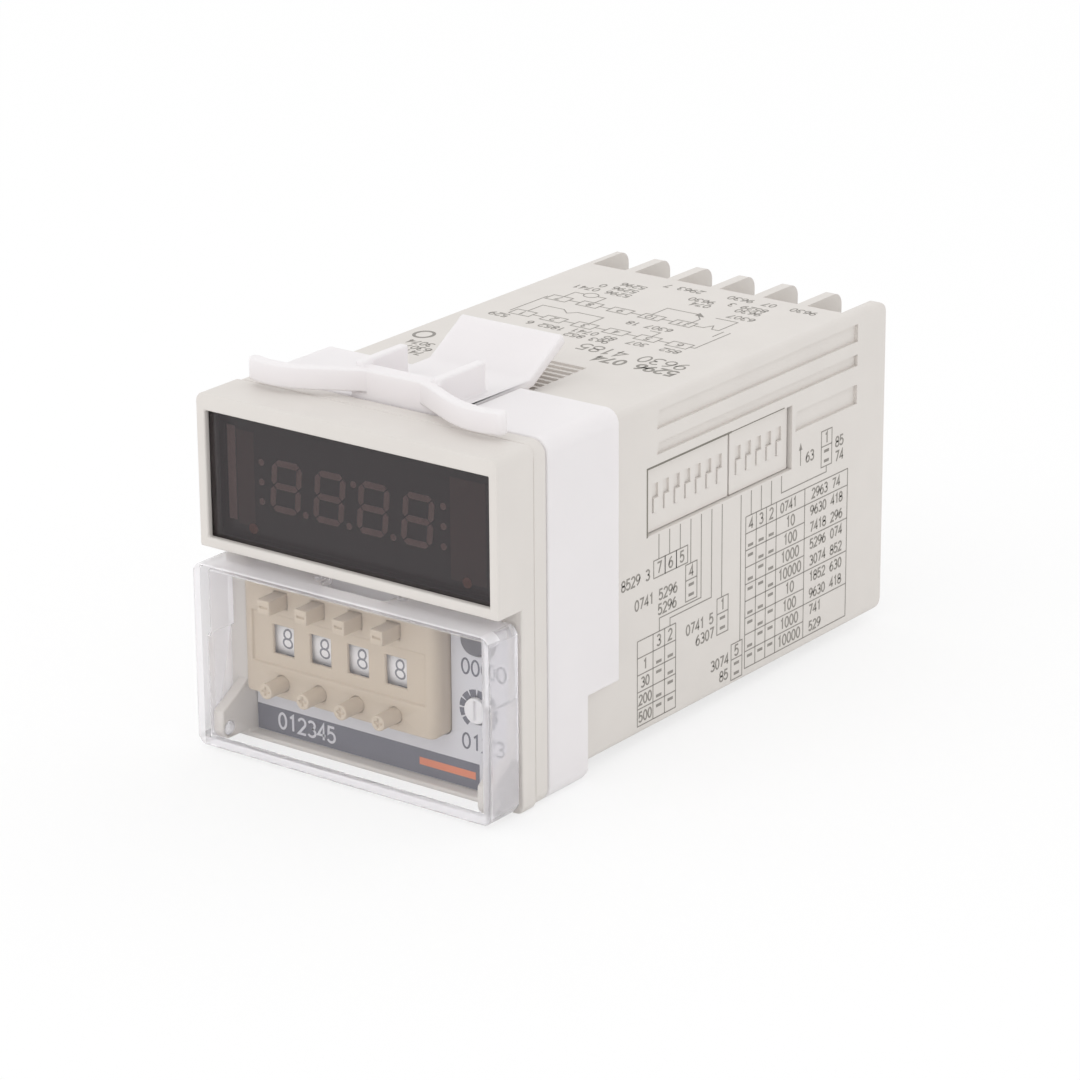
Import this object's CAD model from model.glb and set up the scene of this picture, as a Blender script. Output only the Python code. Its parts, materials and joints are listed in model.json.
"""Looks of a square panel counter: moulded case, smoked display, clear drop-down cover, preset
buttons, slide-on bracket and screw terminals. Sizes are in millimetres, in the CAD's own frame."""

import json
import math

import bmesh
import bpy
from mathutils import Matrix, Vector

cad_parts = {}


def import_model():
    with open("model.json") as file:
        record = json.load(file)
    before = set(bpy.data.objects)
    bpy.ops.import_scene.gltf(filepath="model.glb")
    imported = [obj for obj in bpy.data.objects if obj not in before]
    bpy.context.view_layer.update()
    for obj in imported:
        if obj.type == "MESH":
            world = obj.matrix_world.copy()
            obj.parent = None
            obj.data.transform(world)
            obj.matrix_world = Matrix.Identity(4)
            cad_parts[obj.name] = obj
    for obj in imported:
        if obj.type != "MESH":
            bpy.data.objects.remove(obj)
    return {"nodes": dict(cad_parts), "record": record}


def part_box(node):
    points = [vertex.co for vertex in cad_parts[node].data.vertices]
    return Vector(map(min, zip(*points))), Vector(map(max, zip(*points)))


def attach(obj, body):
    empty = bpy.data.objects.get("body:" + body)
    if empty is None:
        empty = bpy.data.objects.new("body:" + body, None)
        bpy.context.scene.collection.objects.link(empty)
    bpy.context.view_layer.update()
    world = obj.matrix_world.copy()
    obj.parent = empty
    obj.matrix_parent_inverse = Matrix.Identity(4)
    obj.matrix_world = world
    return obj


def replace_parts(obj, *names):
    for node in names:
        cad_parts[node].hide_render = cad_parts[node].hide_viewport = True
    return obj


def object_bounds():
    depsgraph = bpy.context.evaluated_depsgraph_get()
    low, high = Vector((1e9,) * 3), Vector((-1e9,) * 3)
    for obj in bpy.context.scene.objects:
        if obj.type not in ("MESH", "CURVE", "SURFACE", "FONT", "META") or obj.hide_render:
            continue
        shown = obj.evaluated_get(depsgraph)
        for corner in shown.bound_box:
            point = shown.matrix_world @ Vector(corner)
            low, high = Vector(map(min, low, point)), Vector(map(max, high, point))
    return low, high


MM = 0.001
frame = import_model()
nodes = frame["nodes"]
record = frame["record"]
cad_low, cad_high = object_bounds()
body_of_node = {n: body for body, members in record["behaviour"]["bodies"].items() for n in members}
slot_of_node = {part["node"]: part["material_slot"] for part in record["subparts"]}


def low(node):
    """Lowest corner of a CAD node, in millimetres."""
    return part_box(node)[0] / MM


def high(node):
    """Highest corner of a CAD node, in millimetres."""
    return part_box(node)[1] / MM


def middle(node):
    """Centre of a CAD node, in millimetres."""
    return (low(node) + high(node)) / 2


# Places that the pieces below are set against. CASE_HALF is half the case's width behind the flange.
CASE_HALF = 22.4
FASCIA_Y = low("fascia_plate").y
MODULE_Y = low("display_module").y
AXLE = middle("wheel_axle")
WHEEL_R = (high("digit_wheel_1").y - low("digit_wheel_1").y) / 2
WINDOW_Z = middle("setting_switch_a").z
BARRIER_FRONT = high("main_board").y
# Numbers of the preset unit's digits
DIGITS = range(1, 5)


# Materials

# Part of a noise that is stretched over a range
NOISE_LOW = 0.3
NOISE_HIGH = 0.7
# Share by which the gloss varies, size of its patches as a share of the colour's, and height of the grain
GLOSS_SPREAD = 0.12
GLOSS_PATCH = 0.25
GRAIN_HEIGHT = 0.05


def linear(colour):
    """Linear colour from 0 to 255 values as a screen shows them."""
    shares = [c / 255 for c in colour]
    return tuple(((c + 0.055) / 1.055) ** 2.4 if c > 0.04045 else c / 12.92 for c in shares)


def link(tree, source, target):
    tree.links.new(source, target)


def noise(tree, size, detail=3.0):
    """Noise in the object's own space whose grain is about that many millimetres."""
    place = tree.nodes.new("ShaderNodeTexCoord")
    texture = tree.nodes.new("ShaderNodeTexNoise")
    texture.inputs["Scale"].default_value = 1 / (size * MM)
    texture.inputs["Detail"].default_value = detail
    link(tree, place.outputs["Object"], texture.inputs["Vector"])
    return texture.outputs["Fac"]


def spread(tree, value, lowest, highest):
    """Maps the middle of a noise to a range."""
    ramp = tree.nodes.new("ShaderNodeMapRange")
    ramp.inputs["From Min"].default_value = NOISE_LOW
    ramp.inputs["From Max"].default_value = NOISE_HIGH
    ramp.inputs["To Min"].default_value = lowest
    ramp.inputs["To Max"].default_value = highest
    link(tree, value, ramp.inputs["Value"])
    return ramp.outputs["Result"]


def mottled(tree, colour, share, size):
    """Colour that varies by a share, in soft patches."""
    mix = tree.nodes.new("ShaderNodeMix")
    mix.data_type = "RGBA"
    mix.inputs["A"].default_value = (*(c * (1 - share) for c in colour), 1)
    mix.inputs["B"].default_value = (*(min(1, c * (1 + share)) for c in colour), 1)
    link(tree, spread(tree, noise(tree, size), 0, 1), mix.inputs["Factor"])
    return mix.outputs["Result"]


def grained(tree, strength, size):
    """Normal of a fine moulded grain."""
    bump = tree.nodes.new("ShaderNodeBump")
    bump.inputs["Strength"].default_value = strength
    bump.inputs["Distance"].default_value = GRAIN_HEIGHT * MM
    link(tree, noise(tree, size, detail=4), bump.inputs["Height"])
    return bump.outputs["Normal"]


def finish(name, colour, rough, mottle=0.03, mottle_size=6.0, grain=0.08, grain_size=0.25, **sockets):
    """Moulded or machined surface: a mottled colour, uneven gloss and a fine grain."""
    made = bpy.data.materials.new(name)
    made.use_nodes = True
    tree = made.node_tree
    shader = tree.nodes["Principled BSDF"]
    for socket, value in sockets.items():
        shader.inputs[socket.replace("_", " ")].default_value = value
    link(tree, mottled(tree, linear(colour), mottle, mottle_size), shader.inputs["Base Color"])
    patches = noise(tree, mottle_size * GLOSS_PATCH)
    gloss = spread(tree, patches, rough * (1 - GLOSS_SPREAD), rough * (1 + GLOSS_SPREAD))
    link(tree, gloss, shader.inputs["Roughness"])
    if grain:
        link(tree, grained(tree, grain, grain_size), shader.inputs["Normal"])
    return made


LOOKS = {
    # Slots of the record
    "case_plastic": dict(colour=(222, 217, 212), rough=0.48, mottle=0.015, Specular_IOR_Level=0.35),
    "bracket_plastic": dict(colour=(236, 232, 233), rough=0.38, mottle=0.012, mottle_size=9, grain=0.03,
                            Subsurface_Weight=0.35, Subsurface_Scale=2 * MM, Subsurface_Radius=(1, 1, 1)),
    "clear_cover": dict(colour=(240, 238, 242), rough=0.05, mottle=0.01, grain=0, Alpha=0.06),
    "smoked_window": dict(colour=(36, 22, 27), rough=0.12, mottle=0.02, grain=0, Alpha=0.5, IOR=1.8),
    "display_dark": dict(colour=(44, 33, 36), rough=0.6, grain=0),
    "segment_dim": dict(colour=(184, 154, 150), rough=0.5, grain=0),
    "lamp_red": dict(colour=(172, 118, 104), rough=0.3, grain=0),
    "fascia_grey": dict(colour=(217, 216, 221), rough=0.5, mottle=0.012),
    "switch_beige": dict(colour=(202, 187, 168), rough=0.5, mottle=0.02),
    "wheel_white": dict(colour=(240, 238, 240), rough=0.45, mottle=0.01),
    "slider_white": dict(colour=(224, 219, 214), rough=0.46, mottle=0.01, Specular_IOR_Level=0.35),
    "key_grey": dict(colour=(98, 96, 102), rough=0.45),
    "part_black": dict(colour=(34, 34, 35), rough=0.5),
    "part_blue": dict(colour=(52, 84, 150), rough=0.35),
    "board_green": dict(colour=(38, 92, 58), rough=0.35, mottle=0.12, mottle_size=2),
    "core_steel": dict(colour=(96, 94, 92), rough=0.4, mottle=0.1, mottle_size=1, Metallic=0.7),
    "coil_tape": dict(colour=(214, 176, 84), rough=0.4, mottle=0.06),
    "terminal_brass": dict(colour=(214, 190, 128), rough=0.3, mottle=0.06, mottle_size=1.5, Metallic=1),
    "plated_steel": dict(colour=(205, 203, 200), rough=0.28, mottle=0.06, mottle_size=1, Metallic=1),
    # Walls and edges of the clear cover
    "cover_wall": dict(colour=(250, 248, 251), rough=0.05, mottle=0, grain=0, Transmission_Weight=0.7,
                       IOR=1.49),
    "cover_edge": dict(colour=(250, 248, 251), rough=0.1, mottle=0, grain=0, Transmission_Weight=0.7,
                       IOR=1.49, Alpha=0.75),
    "cover_lit": dict(colour=(254, 251, 254), rough=0.12, mottle=0.02, grain=0.01, grain_size=3, Alpha=0.62),
    # Print
    "print_ink": dict(colour=(146, 142, 136), rough=0.6, mottle=0.08, mottle_size=0.6),
    "gap_shade": dict(colour=(128, 124, 115), rough=0.7, mottle=0.04),
    "band_ink": dict(colour=(98, 98, 110), rough=0.5, mottle=0.03),
    "digit_ink": dict(colour=(132, 132, 140), rough=0.55, mottle=0.06),
    "panel_tint": dict(colour=(118, 82, 76), rough=0.55, mottle=0.08, mottle_size=3, grain=0),
    "mark_white": dict(colour=(214, 214, 220), rough=0.55, mottle=0.03),
    "mark_orange": dict(colour=(222, 126, 84), rough=0.5, mottle=0.04),
}
materials = {name: finish(name, **look) for name, look in LOOKS.items()}


# Carried-over solids

# Distance under which two corners of a solid are one
WELD = 0.0005
# Edges over the first angle get round, edges over the second stay sharp in the shading
ROUND_OVER = math.radians(32)
SHARP_OVER = math.radians(50)
ROUND_STEPS = 2
# Radius of the round edges
EDGES = {
    "front_bezel": 0.25, "front_cover": 0.2, "panel_bracket": 0.3, "switch_housing": 0.2,
    "reset_button": 0.25, "time_dial": 0.12, "fascia_plate": 0.08, "display_window": 0.1,
}
BUTTON_EDGE = 0.14
CASE_EDGE = 0.2
# Fields of the case whose edges stay as they are: ratchet teeth on the top, setting window on the side
TEETH_HALF = 9
TEETH_FRONT = 5
TEETH_REAR = 34
WINDOW_HALF = 5
WINDOW_FRONT = 23
WINDOW_REAR = 58
# Depth below the case's surface that still belongs to such a field, or to the outside
FIELD_DEPTH = 1
SKIN_DEPTH = 0.7


def paint(obj, made):
    obj.data.materials.clear()
    obj.data.materials.append(made)


def smooth(mesh):
    """Smooth shading apart from sharp edges, in place of the normals that came with the solid."""
    loaded = mesh.attributes.get("custom_normal")
    if loaded:
        mesh.attributes.remove(loaded)
    for face in mesh.polygons:
        face.use_smooth = True
    mesh.set_sharp_from_angle(angle=SHARP_OVER)


def add(name, mesh, look, body):
    """New piece that rides on a body."""
    obj = bpy.data.objects.new(name, mesh)
    bpy.context.scene.collection.objects.link(obj)
    paint(obj, materials[look])
    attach(obj, body)
    return obj


def softened(node, width, keep=None):
    """Shows a CAD node with small round edges, as moulded parts have. keep picks the edges."""
    mesh = nodes[node].data.copy()
    bm = bmesh.new()
    bm.from_mesh(mesh)
    bmesh.ops.remove_doubles(bm, verts=bm.verts, dist=WELD * MM)
    edges = [e for e in bm.edges if e.is_manifold and abs(e.calc_face_angle(0)) > ROUND_OVER]
    if keep:
        edges = [e for e in edges if keep(*(v.co / MM for v in e.verts))]
    bmesh.ops.bevel(bm, geom=edges, offset=width * MM, offset_type="OFFSET", segments=ROUND_STEPS,
                    profile=0.5, affect="EDGES", clamp_overlap=False, miter_outer="SHARP",
                    miter_inner="SHARP")
    bm.to_mesh(mesh)
    bm.free()
    smooth(mesh)
    slot = slot_of_node[node]
    obj = add(node + "_shell", mesh, slot, body_of_node[node])
    weigh = obj.modifiers.new("weigh", "WEIGHTED_NORMAL")
    weigh.keep_sharp = True
    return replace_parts(obj, node)


def on_teeth(p):
    """True on the field of the ratchet."""
    return p.z > CASE_HALF - FIELD_DEPTH and abs(p.x) < TEETH_HALF and TEETH_FRONT < p.y < TEETH_REAR


def on_window(p):
    """True on the field of the setting window."""
    across = abs(p.z - WINDOW_Z) < WINDOW_HALF
    return p.x > CASE_HALF - FIELD_DEPTH and across and WINDOW_FRONT < p.y < WINDOW_REAR


def on_skin(p):
    """True on the case's outside, in front of its terminal barriers."""
    return max(abs(p.x), abs(p.z)) > CASE_HALF - SKIN_DEPTH and p.y < BARRIER_FRONT


def plain_edge(*ends):
    """True for the case's outer edges apart from its teeth, setting window and terminal barriers."""
    return all(map(on_skin, ends)) and not all(map(on_teeth, ends)) and not all(map(on_window, ends))


for node, solid in nodes.items():
    paint(solid, materials[slot_of_node[node]])
shells = {node: softened(node, width) for node, width in EDGES.items()}
for number in DIGITS:
    softened("minus_button_%d" % number, BUTTON_EDGE)
    softened("plus_button_%d" % number, BUTTON_EDGE)
softened("case_body", CASE_EDGE, keep=plain_edge)


# Clear cover

# Material slots of its parts
PANE_SLOT, WALL_SLOT, EDGE_SLOT, LIT_SLOT = range(4)
# Thickness of its walls, depth of the pane and of the lit front bevels behind its face
COVER_WALL = 1.2
PANE_DEPTH = 1.1
LIT_DEPTH = 2.2
# Reach of the hinge pins to the sides and upward
PIN_REACH = 22.6
PIN_TOP = -20.4
# A face counts as flat when its normal lies this close to an axis
FLAT = 0.99
# Corners this near to a cut are moved onto it
CUT_SNAP = 0.001


def cover_slot(face, least, most):
    """Clear pane, denser right and lower walls, pale edges and pins, and lit top and left walls."""
    at = face.calc_center_median() / MM
    behind = at.y - least.y
    flat = max(abs(c) for c in face.normal) > FLAT
    pane = abs(face.normal.y) > FLAT and behind < PANE_DEPTH
    border = abs(at.x) > most.x - COVER_WALL or at.z < least.z + COVER_WALL
    pin = abs(at.x) < PIN_REACH and behind > PANE_DEPTH and at.z < PIN_TOP
    lit_top = at.z > most.z - COVER_WALL and not pane and (flat or behind < LIT_DEPTH)
    lit_left = at.x < least.x + COVER_WALL and flat
    if lit_top or lit_left:
        return LIT_SLOT
    if pin or not flat:
        return EDGE_SLOT
    return PANE_SLOT if pane and not border else WALL_SLOT


def cover_looks(obj):
    """Cuts the cover along its walls and gives each part its look, as a clear moulding shows them."""
    for look in ("cover_wall", "cover_edge", "cover_lit"):
        obj.data.materials.append(materials[look])
    least = low("front_cover")
    most = high("front_cover")
    cuts = (((most.x - COVER_WALL, 0, 0), (1, 0, 0)), ((least.x + COVER_WALL, 0, 0), (1, 0, 0)),
            ((0, 0, least.z + COVER_WALL), (0, 0, 1)), ((0, least.y + LIT_DEPTH, 0), (0, 1, 0)))
    bm = bmesh.new()
    bm.from_mesh(obj.data)
    for place, along in cuts:
        bmesh.ops.bisect_plane(bm, geom=bm.verts[:] + bm.edges[:] + bm.faces[:], dist=CUT_SNAP * MM,
                               plane_co=Vector(place) * MM, plane_no=along)
    for face in bm.faces:
        face.material_index = cover_slot(face, least, most)
    bm.to_mesh(obj.data)
    bm.free()


cover_looks(shells["front_cover"])


# Print

# Height of the ink over its face, share of it that the ink fills, and width of ruled lines
INK = 0.025
INK_FILL = 0.9
RULE = 0.15
# Width and pace of a numeral as shares of its height, and numerals in a group
NUMERAL_W = 0.6
PACE = 0.78
GROUP = 4
# Limit to which the corners of a stroke are drawn out, distance under which its ends are one place,
# and angle between the points of an arc
MITRE = 0.4
SAME_PLACE = 1e-6
ARC_STEP = 15


class Print:
    """Flat marks on one face, gathered into one thin mesh. place turns u and v, in mm, into a point."""

    def __init__(self, place):
        self.place = place
        self.points = []
        self.faces = []

    def face(self, corners):
        start = len(self.points)
        self.points += [self.place(u, v) for u, v in corners]
        self.faces.append(range(start, start + len(corners)))

    def bar(self, u0, v0, u1, v1):
        self.face([(u0, v0), (u1, v0), (u1, v1), (u0, v1)])

    def stroke(self, path, width=RULE):
        """Ribbon along a path, with mitred corners."""
        path = [Vector(p) for p in path]
        closed = (path[0] - path[-1]).length < SAME_PLACE
        sides = []
        for i, point in enumerate(path):
            before = path[i - 1] if i else (path[-2] if closed else point * 2 - path[1])
            after = path[i + 1] if i < len(path) - 1 else (path[1] if closed else point * 2 - path[-2])
            first = (point - before).normalized()
            second = (after - point).normalized()
            across = Vector((-first.y - second.y, first.x + second.x)).normalized()
            reach = width / 2 / max(MITRE, across.dot(Vector((-second.y, second.x))))
            sides.append((point + across * reach, point - across * reach))
        for (left, right), (next_left, next_right) in zip(sides, sides[1:]):
            self.face([left, right, next_right, next_left])

    def frame(self, u0, v0, u1, v1):
        self.stroke([(u0, v0), (u1, v0), (u1, v1), (u0, v1), (u0, v0)])

    def number(self, text, u, v, height, width):
        """Plain numerals centred on u, v."""
        step = height * PACE
        start = u - step * (len(text) - 1) / 2 - height * NUMERAL_W / 2
        for i, sign in enumerate(text):
            for path in numeral(sign):
                self.stroke([(start + i * step + x * height, v + (y - 0.5) * height) for x, y in path], width)

    def row(self, u, v, length, height, width):
        """Plain numerals in groups, where the object has wording. Their order differs from row to row."""
        count = max(1, int(length / (height * PACE)))
        first = round(abs(3 * u + 5 * v))
        signs = (" " if i % (GROUP + 1) == GROUP else str((first + 7 * i) % 10) for i in range(count))
        self.number("".join(signs), u + length / 2, v, height, width)

    def piece(self, name, look, body):
        mesh = bpy.data.meshes.new(name)
        mesh.from_pydata([p * MM for p in self.points], [], [list(f) for f in self.faces])
        obj = add(name, mesh, look, body)
        thick = obj.modifiers.new("thick", "SOLIDIFY")
        thick.thickness = INK * INK_FILL * MM
        thick.offset = -1
        return obj


def arc(cx, cy, rx, ry, start, end):
    """Points on an ellipse from one angle to another, in degrees."""
    count = max(4, int(abs(end - start) / ARC_STEP))
    angles = [math.radians(start + (end - start) * i / count) for i in range(count + 1)]
    return [(cx + rx * math.cos(a), cy + ry * math.sin(a)) for a in angles]


def numeral(sign):
    """Strokes of a numeral in a box NUMERAL_W wide and 1 high."""
    return {
        " ": [],
        "0": [arc(0.3, 0.5, 0.28, 0.5, 90, 450)],
        "1": [[(0.14, 0.82), (0.36, 1), (0.36, 0)]],
        "2": [arc(0.3, 0.72, 0.27, 0.28, 165, -35) + [(0.03, 0), (0.6, 0)]],
        "3": [arc(0.28, 0.75, 0.26, 0.25, 150, -90), arc(0.28, 0.26, 0.3, 0.26, 90, -150)],
        "4": [[(0.46, 0), (0.46, 1), (0.02, 0.3), (0.62, 0.3)]],
        "5": [[(0.54, 1), (0.1, 1), (0.07, 0.56)] + arc(0.27, 0.32, 0.3, 0.32, 120, -150)],
        "6": [arc(0.3, 0.3, 0.28, 0.3, 90, 450), arc(0.62, 0.3, 0.6, 0.7, 180, 105)],
        "7": [[(0.02, 1), (0.58, 1), (0.2, 0)]],
        "8": [arc(0.3, 0.75, 0.24, 0.25, -90, 270), arc(0.3, 0.26, 0.29, 0.26, 90, 450)],
        "9": [arc(0.3, 0.7, 0.28, 0.3, -90, 270), arc(-0.02, 0.7, 0.6, 0.7, 0, -75)],
    }[sign]


def on_side(u, v):
    return Vector((CASE_HALF + INK, u, v))


def on_top(u, v):
    """Place on the case's top, whose print is read from the rear."""
    return Vector((-u, -v, CASE_HALF + INK))


def on_fascia(u, v):
    return Vector((u, FASCIA_Y - INK, v))


def on_band(u, v):
    """Place on the fascia's dark band, over its ink."""
    return Vector((u, FASCIA_Y - 2 * INK, v))


def evenly(first, last, count):
    """Lines at even distances from first to last."""
    return [first + (last - first) * i / (count - 1) for i in range(count)]


def between(lines):
    """Middles between neighbouring lines."""
    return [(a + b) / 2 for a, b in zip(lines, lines[1:])]


# Print on the right side

# Stroke width of its numerals, and their height in boxes, in narrow cells and in rows for wording
SIDE_PEN = 0.24
SIDE_TEXT = 1.45
CELL_TEXT = SIDE_TEXT * 0.9
WORD_TEXT = SIDE_TEXT * 0.95
# Dash that shows a switch's place in a table or box, and its foot against the middle of a cell
DASH_W = 1.2
DASH_H = 0.4
DASH_UP = 0.2
DASH_DOWN = -0.8
# Tables: column lines, upper and lower edge
RANGE_COLUMNS = [46.2, 48.7, 51.1, 53.5, 60.4, 71.0]
RANGE_TOP = 0.6
RANGE_FOOT = -20.9
SPEED_COLUMNS = [21.5, 25.0, 27.6, 30.1]
SPEED_TOP = -9.4
SPEED_FOOT = -21.2
# Dashes and rows of numerals in the tables: distance from a column's line
RANGE_INSET = 0.6
SPEED_INSET = 0.7
ROW_INSET = 0.9
# Rows of numerals in the large table's last column: number of long ones, and length of long and other ones
LONG_ROWS = 6
LONG_ROW = 9
SHORT_ROW = 4
# Three boxes side by side: left end, foot, top and pitch
TRIPLE_LEFT = 25.1
TRIPLE_FOOT = -1.8
TRIPLE_TOP = 0.6
TRIPLE_PITCH = 2.55
# Single boxes: width, height, height of the field for the number, and drops of the dashes from the top
SINGLE_W = 2.6
SINGLE_H = 5.1
SINGLE_HEAD = 2.2
SINGLE_DROPS = (3.15, 4.55)
# Foot of the setting window, where the leader lines begin
LEADER_TOP = 4.0
# Shadow of the setting window's edges: its width, and how far it lies from the switches' ends
SHADE_W = 0.26
SHADE_FRONT = 0.6
SHADE_REAR = 1.5
SHADE_FOOT = 0.3
SHADE_TOP = 0.25


def dash(sheet, left, foot):
    sheet.bar(left, foot, left + DASH_W, foot + DASH_H)


def switch_dashes(sheet, lefts, row, v):
    """One dash for each switch of a table's row, up or down as the row's number in binary says."""
    for place, left in enumerate(lefts):
        dash(sheet, left, v + (DASH_UP if (row >> place) & 1 else DASH_DOWN))


def range_table(sheet):
    """Large ruled table at the rear. Every second line stops short of its last column."""
    columns = RANGE_COLUMNS
    rows = evenly(RANGE_TOP, RANGE_FOOT, 10)
    for u in columns:
        sheet.stroke([(u, rows[0]), (u, rows[-1])])
    for i, v in enumerate(rows):
        short = i > 0 and i % 2 == 0
        sheet.stroke([(columns[0], v), (columns[-2] if short else columns[-1], v)])
    head, *cells = between(rows)
    middles = between(columns)
    for u, sign in zip(middles, "432"):
        sheet.number(sign, u, head, SIDE_TEXT, SIDE_PEN)
    for left, inset, length in ((columns[3], 0.8, 5.3), (columns[4], 1.2, 8)):
        sheet.row(left + inset, head, length, CELL_TEXT, SIDE_PEN)
    for r, v in enumerate(cells):
        switch_dashes(sheet, [u + RANGE_INSET for u in columns[:3]], r, v)
        sheet.number(str(10 ** (r % 4 + 1)), middles[3], v, SIDE_TEXT, SIDE_PEN)
        length = LONG_ROW if r < LONG_ROWS else SHORT_ROW
        sheet.row(columns[4] + ROW_INSET, v, length, CELL_TEXT, SIDE_PEN)


def speed_table(sheet):
    """Small ruled table in front."""
    columns = SPEED_COLUMNS
    rows = evenly(SPEED_TOP, SPEED_FOOT, 6)
    for u in columns:
        sheet.stroke([(u, rows[0]), (u, rows[-1])])
    for v in rows:
        sheet.stroke([(columns[0], v), (columns[-1], v)])
    head, *cells = between(rows)
    names, *switches = between(columns)
    for u, sign in zip(switches, "32"):
        sheet.number(sign, u, head, SIDE_TEXT, SIDE_PEN)
    for r, sign in enumerate(("1", "30", "200", "500")):
        sheet.number(sign, names, cells[r], CELL_TEXT, SIDE_PEN)
        switch_dashes(sheet, [u + SPEED_INSET for u in columns[1:3]], r, cells[r])


def triple_box(sheet):
    """Three boxes side by side, each with a switch's number."""
    for i, sign in enumerate("765"):
        left = TRIPLE_LEFT + i * TRIPLE_PITCH
        sheet.frame(left, TRIPLE_FOOT, left + TRIPLE_PITCH, TRIPLE_TOP)
        sheet.number(sign, left + TRIPLE_PITCH / 2, (TRIPLE_FOOT + TRIPLE_TOP) / 2, SIDE_TEXT, SIDE_PEN)


def single_boxes(sheet):
    """Boxes with a switch's number and two dashes below it."""
    for left, top, sign in ((32.3, -2.1, "4"), (39.6, -9.0, "1"), (43.0, -16.5, "5"), (64.3, 7.6, "1")):
        sheet.frame(left, top - SINGLE_H, left + SINGLE_W, top)
        sheet.stroke([(left, top - SINGLE_HEAD), (left + SINGLE_W, top - SINGLE_HEAD)])
        sheet.number(sign, left + SINGLE_W / 2, top - SINGLE_HEAD / 2, SIDE_TEXT, SIDE_PEN)
        for drop in SINGLE_DROPS:
            dash(sheet, left + (SINGLE_W - DASH_W) / 2, top - drop)


def leaders(sheet):
    """Lines from the sliders in the setting window down to the boxes and tables."""
    def leader(slider, foot, *bends):
        u = middle("setting_slider_%02d" % slider).y
        sheet.stroke([(u, LEADER_TOP), (u, foot), *bends])

    for slider in (1, 2, 3, 9, 10, 11):
        leader(slider, RANGE_TOP)
    leader(4, -2.1)
    leader(5, -7.6, (26.4, -7.6), (26.4, SPEED_TOP))
    leader(6, -8.3, (28.8, -8.3), (28.8, SPEED_TOP))
    leader(7, -9.0)
    leader(8, -16.5)
    leader(12, 1.6, (65.6, 1.6), (65.6, 2.5))


def side_words(sheet):
    """Arrow beside the setting window, and rows of numerals where the object has wording."""
    sheet.stroke([(59.2, 4.2), (59.2, 6.6)])
    sheet.face([(58.8, 6.4), (59.6, 6.4), (59.2, 7.4)])
    for u, v, length in ((60.2, 5.0, 2.6), (67.2, 5.2, 3.2), (67.2, 3.1, 3.2), (17.4, -0.9, 7.4),
                         (20.6, -4.4, 11.2), (25.6, -6.4, 6.2), (32.0, -11.3, 7.2), (34.4, -13.4, 4.8),
                         (38.0, -18.2, 4.6), (39.9, -20.3, 2.8)):
        sheet.row(u, v, length, WORD_TEXT, SIDE_PEN)


def side_print():
    """Setting chart beside the switches: ruled tables, plain numbers and leader lines."""
    sheet = Print(on_side)
    for part in (range_table, speed_table, triple_box, single_boxes, leaders, side_words):
        part(sheet)
    return sheet.piece("side_print", "print_ink", "counter")


def window_shade():
    """Shadow along the upper and front edges of the setting window."""
    sheet = Print(on_side)
    front = low("setting_switch_a").y - SHADE_FRONT
    bend = high("setting_switch_a").y
    rear = high("setting_switch_b").y - SHADE_REAR
    foot = low("setting_switch_a").z - SHADE_FOOT
    top = high("setting_switch_a").z + SHADE_TOP
    sheet.stroke([(front, foot), (front, top), (bend, top)], SHADE_W)
    sheet.stroke([(bend, top), (rear, top)], SHADE_W / 2)
    return sheet.piece("window_shade", "gap_shade", "counter")


# Print on the top. Its places are written in the CAD's x and y.

# Height and stroke width of its numerals, and of those in the boxes
TOP_TEXT = 1.35
TOP_PEN = 0.22
BOX_TEXT = 1.3
BOX_PEN = TOP_PEN * 0.8
# Numbered boxes: pitch, half width and half height, and the y of the two rows
BOX_PITCH = 5.17
BOX_W = 1.65
BOX_H = 1.05
REAR_ROW = 54.7
FRONT_ROW = 46.3


def flipped(places):
    """Places in the CAD's x and y as the top's u and v."""
    return [(-x, -y) for x, y in places]


def top_line(sheet, *places):
    sheet.stroke(flipped(places))


def top_row(sheet, x0, x1, y, height=TOP_TEXT, width=TOP_PEN):
    sheet.row(-x1, -y, x1 - x0, height, width)


def terminal_boxes(sheet):
    """Two rows of numbered boxes, each joined by a line."""
    for number, x0, y, count in ((7, -14.4, REAR_ROW, 5), (1, -14.3, FRONT_ROW, 6)):
        for i in range(count):
            x = x0 + i * BOX_PITCH
            sheet.frame(-x - BOX_W, -y - BOX_H, -x + BOX_W, -y + BOX_H)
            sheet.number(str(number + i), -x, -y, BOX_TEXT, BOX_PEN)
            if i < count - 1:
                top_line(sheet, (x + BOX_W, y), (x + BOX_PITCH - BOX_W, y))


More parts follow.
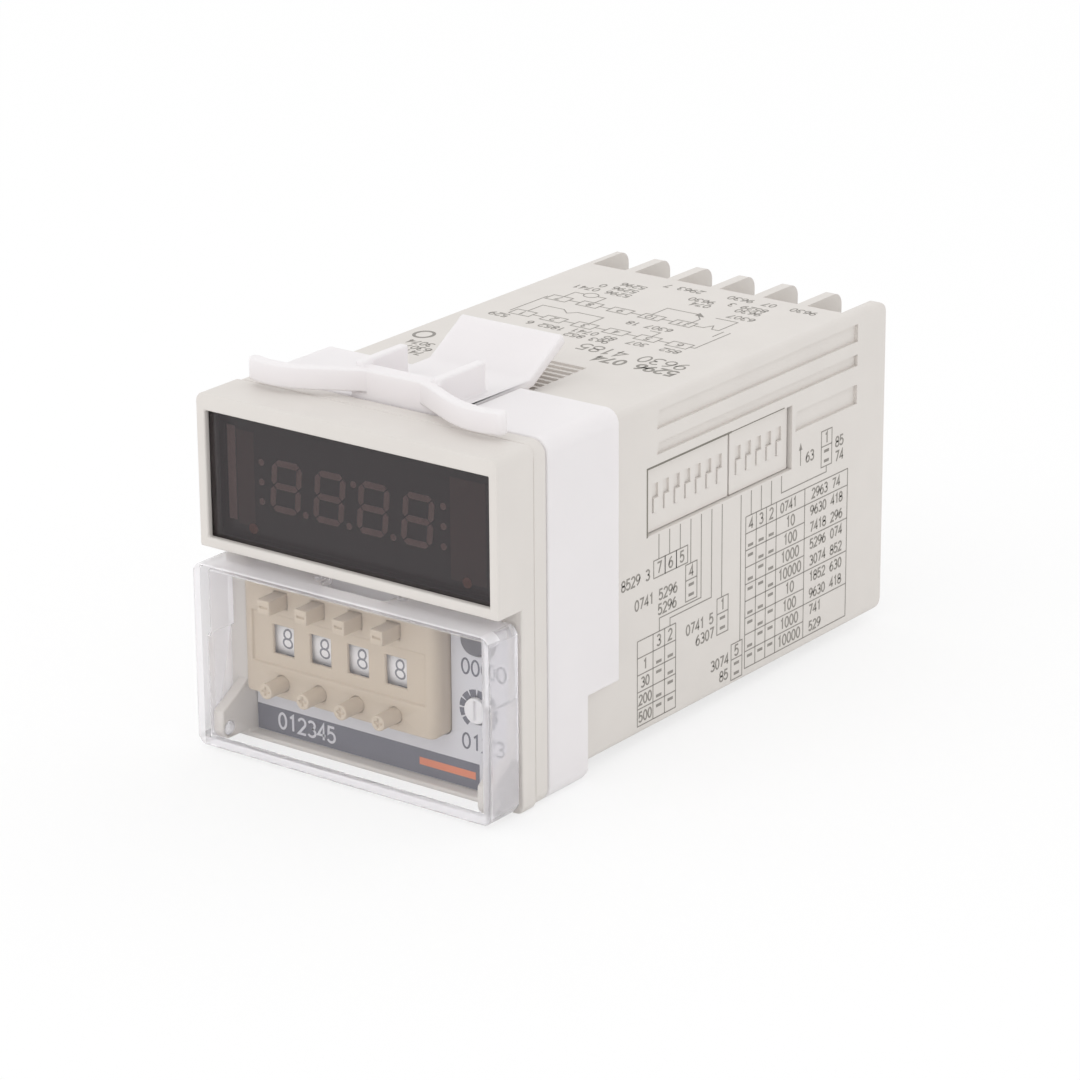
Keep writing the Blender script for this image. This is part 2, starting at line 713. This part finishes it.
def wiring(sheet):
    """Lines between and behind the boxes, with a coil, contacts and an arrow."""
    front = FRONT_ROW + BOX_H
    rear = REAR_ROW + BOX_H
    top_line(sheet, (-16.5, FRONT_ROW), (-16.4, REAR_ROW))
    top_line(sheet, (-14.3, front), (-14.3, 50.8), (-10.7, 50.8), (-9.4, 49.6), (-8.3, 50.7), (-4.0, 50.7),
             (-4.0, front))
    top_line(sheet, *arc(-11.7, 58.4, 1.1, 1.0, 0, 360))
    top_line(sheet, (-14.4, rear), (-14.4, 58.4), (-12.8, 58.4))
    top_line(sheet, (-10.6, 58.4), (-9.2, 58.4), (-9.2, rear))
    top_line(sheet, (0.4, rear), (0.4, 59.4), (5.4, 59.4), (7.0, 57.6), (7.0, REAR_ROW))
    sheet.face(flipped([(5.4, 60.0), (6.9, 58.7), (5.4, 58.8)]))
    top_line(sheet, (7.9, REAR_ROW), (9.5, REAR_ROW), (10.2, 56.2), (10.9, REAR_ROW), (12.0, REAR_ROW),
             (12.0, 59.3), (8.4, 59.3))
    top_line(sheet, (6.3, front), (6.3, 49.4), (4.6, 49.4))
    top_line(sheet, (13.2, FRONT_ROW), (14.0, FRONT_ROW), (14.0, 54.6))
    top_line(sheet, (12.9, 52.0), (12.9, 54.6))


def top_words(sheet):
    """Rows of numerals where the object has wording, and a ring where it has a mark."""
    for x0, x1, y in ((-16.6, -6.8, 61.0), (-14.0, -7.0, 63.2), (-13.0, -7.2, 65.4), (-6.2, 0.2, 68.3),
                      (-0.4, 4.8, 65.0), (1.6, 4.8, 63.2), (3.6, 8.8, 68.6), (5.6, 12.9, 65.8),
                      (7.0, 13.0, 64.0), (8.0, 13.5, 61.2), (9.4, 12.4, 68.6), (13.2, 18.6, 68.6),
                      (-0.4, 7.2, 50.9), (-18.2, -14.9, 43.9), (-11.4, -5.0, 43.2), (-4.6, 0.3, 43.9),
                      (0.8, 3.6, 43.4), (5.0, 8.4, 43.5), (10.4, 13.6, 43.5), (-4.4, -0.4, 41.8),
                      (0.0, 3.4, 41.8)):
        top_row(sheet, x0, x1, y, width=TOP_PEN * 0.9)
    top_row(sheet, -1.8, 18.9, 38.5, height=2.5, width=0.26)
    top_row(sheet, 5.0, 19.2, 35.4, height=2.1, width=0.42)
    sheet.stroke(flipped(arc(-19.0, 30.6, 1.3, 1.5, 0, 360)), width=0.45)
    for x0, x1, y in ((-19.4, -14.4, 27.2), (-18.2, -13.4, 25.2), (-17.0, -13.3, 23.4)):
        top_row(sheet, x0, x1, y)


def top_print():
    """Generic terminal chart on the case's top."""
    sheet = Print(on_top)
    for part in (terminal_boxes, wiring, top_words):
        part(sheet)
    return sheet.piece("top_print", "print_ink", "counter")


# Print on the front

# Upper edge and right end of the fascia's dark band, and its distance from the fascia's edges
BAND_TOP = -19.5
BAND_RIGHT = 16.0
BAND_INSET = 0.1
# Ring of ticks round the dial: radii, first angle, angle between ticks and half the gap between them
RING_INNER = 1.75
RING_OUTER = 2.75
RING_START = 240
RING_STEP = 30
RING_GAP = 2.5
RING_TICKS = 10
# Numbers below the reset key and the dial
LABEL_TEXT = 2.0
LABEL_PEN = 0.28
LABEL_SHIFT = 0.6
KEY_DROP = 3.9
DIAL_DROP = 4.5
# Marks on the dark band: height of their middle, numbers and stripe
MARK_Z = -21.2
MARK_X = -12.2
MARK_TEXT = 2.1
MARK_PEN = 0.34
STRIPE_LEFT = 6.4
STRIPE_RIGHT = 15.4
STRIPE_H = 1.0
# Paler fields behind the smoked window: left, foot, right and top
PALE_FIELDS = ((-19.7, 6.4, -16.9, 19.1), (14.6, 6.1, 20.1, 19.5))
# Numerals round a digit wheel, and the one at the front
WHEEL_SIGNS = 10
FRONT_SIGN = 8
WHEEL_TEXT = 2.5
WHEEL_PEN = 0.26


def fascia_band():
    """Dark band along the fascia's foot."""
    sheet = Print(on_fascia)
    edge = low("fascia_plate")
    sheet.bar(edge.x + BAND_INSET, edge.z + BAND_INSET, BAND_RIGHT, BAND_TOP)
    return sheet.piece("fascia_band", "band_ink", "counter")


def dial_ring():
    """Ring of ticks round the dial, and plain numbers below the dial and the reset key."""
    sheet = Print(on_fascia)
    dial = middle("time_dial")
    key = middle("reset_button")
    radius = (RING_INNER + RING_OUTER) / 2
    for i in range(RING_TICKS):
        start = RING_START - i * RING_STEP
        path = arc(dial.x, dial.z, radius, radius, start - RING_GAP, start - RING_STEP + RING_GAP)
        sheet.stroke(path, RING_OUTER - RING_INNER)
    sheet.number("0123", dial.x + LABEL_SHIFT, dial.z - DIAL_DROP, LABEL_TEXT, LABEL_PEN)
    sheet.number("0000", key.x + LABEL_SHIFT, key.z - KEY_DROP, LABEL_TEXT, LABEL_PEN)
    return sheet.piece("dial_ring", "band_ink", "counter")


def band_numbers():
    """Plain numbers on the dark band."""
    sheet = Print(on_band)
    sheet.number("012345", MARK_X, MARK_Z, MARK_TEXT, MARK_PEN)
    return sheet.piece("band_numbers", "mark_white", "counter")


def band_stripe():
    """Plain stripe on the dark band, in the place of a name."""
    sheet = Print(on_band)
    sheet.bar(STRIPE_LEFT, MARK_Z - STRIPE_H / 2, STRIPE_RIGHT, MARK_Z + STRIPE_H / 2)
    return sheet.piece("band_stripe", "mark_orange", "counter")


def display_panels():
    """Paler fields beside the digits behind the smoked window."""
    sheet = Print(lambda u, v: Vector((u, MODULE_Y - INK, v)))
    for field in PALE_FIELDS:
        sheet.bar(*field)
    return sheet.piece("display_panels", "panel_tint", "counter")


def wheel_numbers(number):
    """Numerals round a digit wheel."""
    centre = middle("digit_wheel_%d" % number).x
    radius = WHEEL_R + INK

    def on_wheel(u, v):
        angle = v / WHEEL_R
        return Vector((centre + u, AXLE.y - radius * math.cos(angle), AXLE.z + radius * math.sin(angle)))

    sheet = Print(on_wheel)
    step = 2 * math.pi * WHEEL_R / WHEEL_SIGNS
    for i in range(WHEEL_SIGNS):
        sheet.number(str((FRONT_SIGN + i) % WHEEL_SIGNS), 0, i * step, WHEEL_TEXT, WHEEL_PEN)
    return sheet.piece("wheel_numbers_%d" % number, "digit_ink", "wheel_%d" % number)


side_print()
window_shade()
top_print()
fascia_band()
dial_ring()
band_numbers()
band_stripe()
display_panels()
for number in DIGITS:
    wheel_numbers(number)


# Stage

# The photograph's camera, fitted to the face and the case's edges
EYE = Vector((317.07, -392.70, 185.79))
AZIMUTH = math.radians(36.83)
ELEVATION = math.radians(19.62)
ROLL = math.radians(-0.40)
SENSOR = 36
LENS = 141.03
# Studio, in metres and watts
FLOOR_REACH = 6.0
FLOOR_WHITE = 0.98
KEY_PLACE = (-0.25, -0.75, 0.75)
KEY_AIM = (0, 0.03, 0)
KEY_SIZE = 0.6
KEY_POWER = 1.0


def camera():
    """Camera that looks along its azimuth and elevation, turned by its roll."""
    back = Vector((math.sin(AZIMUTH) * math.cos(ELEVATION), -math.cos(AZIMUTH) * math.cos(ELEVATION),
                   math.sin(ELEVATION)))
    level = Vector((math.cos(AZIMUTH), math.sin(AZIMUTH), 0))
    upright = back.cross(level)
    right = math.cos(ROLL) * level + math.sin(ROLL) * upright
    up = -math.sin(ROLL) * level + math.cos(ROLL) * upright
    data = bpy.data.cameras.new("camera")
    data.sensor_width = SENSOR
    data.lens = LENS
    data.clip_start = 0.01
    obj = bpy.data.objects.new("camera", data)
    turn = Matrix((right, up, back)).transposed().to_4x4()
    obj.matrix_world = Matrix.Translation(EYE * MM) @ turn
    bpy.context.scene.collection.objects.link(obj)
    bpy.context.scene.camera = obj


def seen_as_white(tree):
    """1 for rays from the camera, from gloss and through clear pieces."""
    path = tree.nodes.new("ShaderNodeLightPath")
    total = path.outputs["Is Camera Ray"]
    for other in ("Is Glossy Ray", "Is Transmission Ray"):
        most = tree.nodes.new("ShaderNodeMath")
        most.operation = "MAXIMUM"
        link(tree, total, most.inputs[0])
        link(tree, path.outputs[other], most.inputs[1])
        total = most.outputs["Value"]
    return total


def world(strength):
    """Even studio light, shown as white."""
    made = bpy.data.worlds.new("studio")
    bpy.context.scene.world = made
    made.use_nodes = True
    tree = made.node_tree
    background = tree.nodes["Background"]
    background.inputs["Color"].default_value = (1, 1, 1, 1)
    shown = tree.nodes.new("ShaderNodeMapRange")
    shown.inputs["To Min"].default_value = strength
    shown.inputs["To Max"].default_value = 1.0
    link(tree, seen_as_white(tree), shown.inputs["Value"])
    link(tree, shown.outputs["Result"], background.inputs["Strength"])


def floor_look(share):
    """Matt white. A share of what the camera sees of it is plain white, so shadows stay soft."""
    made = bpy.data.materials.new("floor")
    made.use_nodes = True
    tree = made.node_tree
    shader = tree.nodes["Principled BSDF"]
    shader.inputs["Base Color"].default_value = (FLOOR_WHITE, FLOOR_WHITE, FLOOR_WHITE, 1)
    shader.inputs["Roughness"].default_value = 0.9
    shader.inputs["Specular IOR Level"].default_value = 0.0
    glow = tree.nodes.new("ShaderNodeEmission")
    mix = tree.nodes.new("ShaderNodeMixShader")
    shown = tree.nodes.new("ShaderNodeMath")
    shown.operation = "MULTIPLY"
    shown.inputs[1].default_value = share
    link(tree, seen_as_white(tree), shown.inputs[0])
    link(tree, shown.outputs["Value"], mix.inputs["Fac"])
    link(tree, shader.outputs["BSDF"], mix.inputs[1])
    link(tree, glow.outputs["Emission"], mix.inputs[2])
    link(tree, mix.outputs["Shader"], tree.nodes["Material Output"].inputs["Surface"])
    return made


def floor(share):
    """Square floor at the foot of the CAD."""
    corners = ((-1, -1), (1, -1), (1, 1), (-1, 1))
    mesh = bpy.data.meshes.new("floor")
    mesh.from_pydata([(FLOOR_REACH * x, FLOOR_REACH * y, cad_low.z) for x, y in corners], [], [(0, 1, 2, 3)])
    obj = bpy.data.objects.new("floor", mesh)
    bpy.context.scene.collection.objects.link(obj)
    paint(obj, floor_look(share))


def lamp(name, place, aim, size, power):
    """Soft square lamp."""
    data = bpy.data.lights.new(name, "AREA")
    data.size = size
    data.energy = power
    obj = bpy.data.objects.new(name, data)
    obj.location = place
    obj.rotation_euler = (Vector(aim) - Vector(place)).to_track_quat("-Z", "Y").to_euler()
    bpy.context.scene.collection.objects.link(obj)


camera()
world(strength=0.98)
floor(share=0.7)
lamp("key", KEY_PLACE, KEY_AIM, KEY_SIZE, KEY_POWER)
bpy.context.scene.view_settings.view_transform = "Standard"
